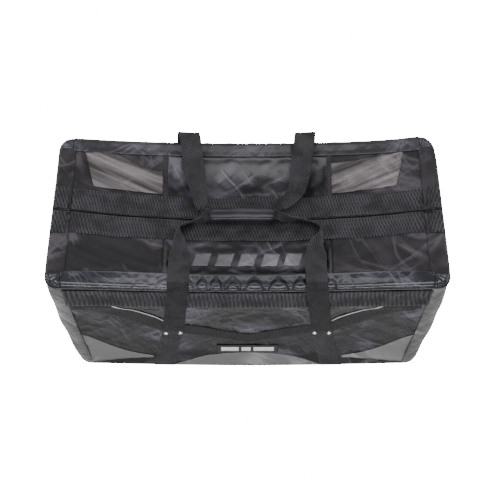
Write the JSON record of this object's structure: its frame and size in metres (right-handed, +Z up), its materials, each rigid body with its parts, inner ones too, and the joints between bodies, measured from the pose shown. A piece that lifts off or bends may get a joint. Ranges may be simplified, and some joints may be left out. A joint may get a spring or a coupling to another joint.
{
  "type": "hockey equipment bag",
  "caption": "Large soft carry bag for hockey gear with a full-length zipped top that opens in two leaves, mesh windows, paired webbing handles and a wrapped grip.",
  "frame": {"origin": "centre of the base on the floor", "axes": "+X along the bag, -Y the front with the rivets and label, +Z up"},
  "size_m": [0.92, 0.436, 0.4403],
  "materials": {
    "tarpaulin": "glossy coated fabric",
    "board": "matte",
    "corner_pvc": "grey glossy",
    "rim_pvc": "glossy creased",
    "band": "ribbed woven",
    "webbing": "woven",
    "rivet": "bright",
    "dark_mesh": "open mesh",
    "reflective": "reflective",
    "grey_pvc": "satin grey",
    "label": "moulded label",
    "zip": "moulded teeth on woven tape",
    "grey_mesh": "fine pale mesh",
    "grip_pvc": "glossy wrap",
    "slider_metal": "satin black"
  },
  "bodies": {
    "bag": {"base_panel": "tarpaulin", "base_board": "board", "front_panel": "tarpaulin", "rear_panel": "tarpaulin", "end_panel_left": "tarpaulin", "end_panel_right": "tarpaulin", "corner_strips_front": "corner_pvc", "corner_strips_rear": "corner_pvc", "end_rim_left": "rim_pvc", "end_rim_right": "rim_pvc", "band_front": "band", "band_rear": "band", "band_end_left": "band", "band_end_right": "band", "strap_front_left": "webbing", "strap_front_right": "webbing", "strap_rear_left": "webbing", "strap_rear_right": "webbing", "rivets_front": "rivet", "rivets_rear": "rivet", "chevron": "dark_mesh", "chevron_piping": "reflective", "corner_gussets": "grey_pvc", "centre_patch": "grey_pvc", "label": "label", "zip_web_ends": "webbing", "zip_chain_ends": "zip"},
    "front_leaf": {"front_leaf_rim": "rim_pvc", "front_leaf_panel": "tarpaulin", "front_zip_web": "webbing", "front_zip_chain": "zip", "front_mark": "reflective"},
    "rear_leaf": {"rear_leaf_rim": "rim_pvc", "rear_leaf_panel": "tarpaulin", "rear_leaf_sides": "dark_mesh", "mesh_window_left": "grey_mesh", "mesh_window_right": "grey_mesh", "rear_zip_web": "webbing", "rear_zip_chain": "zip"},
    "front_handle": {"handle_front_left": "webbing", "handle_front_right": "webbing", "grip_web_front": "webbing", "grip_wrap": "grip_pvc"},
    "rear_handle": {"handle_rear_left": "webbing", "handle_rear_right": "webbing", "grip_web_rear": "webbing"},
    "slider": {"zip_slider": "slider_metal"},
    "pull": {"zip_pull": "slider_metal"}
  },
  "joints": [
    {"name": "front_leaf_hinge", "type": "hinge", "parent": "bag", "child": "front_leaf", "pos_m": [0, -0.2161, 0.3961], "axis": [1, 0, 0], "range_deg": [0, 100]},
    {"name": "rear_leaf_hinge", "type": "hinge", "parent": "bag", "child": "rear_leaf", "pos_m": [0, 0.2161, 0.3961], "axis": [-1, 0, 0], "range_deg": [0, 100]},
    {"name": "front_handle_hinge", "type": "hinge", "parent": "front_leaf", "child": "front_handle", "pos_m": [0, -0.2161, 0.3961], "axis": [1, 0, 0], "range_deg": [0, 75]},
    {"name": "rear_handle_hinge", "type": "hinge", "parent": "rear_leaf", "child": "rear_handle", "pos_m": [0, 0.2161, 0.3961], "axis": [-1, 0, 0], "range_deg": [0, 75]},
    {"name": "zip_slide", "type": "slide", "parent": "bag", "child": "slider", "axis": [-1, 0, 0], "range_m": [0, 0.868]},
    {"name": "pull_hinge", "type": "hinge", "parent": "slider", "child": "pull", "pos_m": [0.437, 0, 0.3949], "axis": [0, 1, 0], "range_deg": [0, 165]}
  ],
  "couplings": [
    {"joint": "rear_leaf_hinge", "follows": "front_leaf_hinge", "ratio": 1},
    {"joint": "rear_handle_hinge", "follows": "front_handle_hinge", "ratio": 1}
  ]
}
